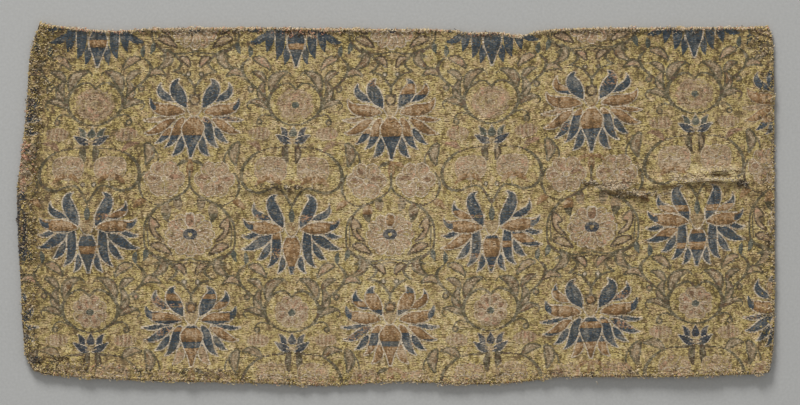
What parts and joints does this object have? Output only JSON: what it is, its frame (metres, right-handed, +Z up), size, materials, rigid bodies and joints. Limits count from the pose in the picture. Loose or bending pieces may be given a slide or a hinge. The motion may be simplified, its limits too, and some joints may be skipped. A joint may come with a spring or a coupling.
{
  "type": "brocade panel",
  "caption": "Oblong panel of floral silk and metal brocade with turned-under edges and a few standing creases, lying face up.",
  "frame": {"origin": "on the surface the panel lies on, under the middle of its bounding box", "axes": "+X along the long side, +Y towards the top of the pattern, +Z up out of the face"},
  "size_m": [0.3333, 0.1596, 0.0035],
  "materials": {
    "brocade": "silk brocade with a dull gold metal-thread ground"
  },
  "bodies": {
    "root": {"brocade_panel": "brocade"}
  },
  "joints": []
}
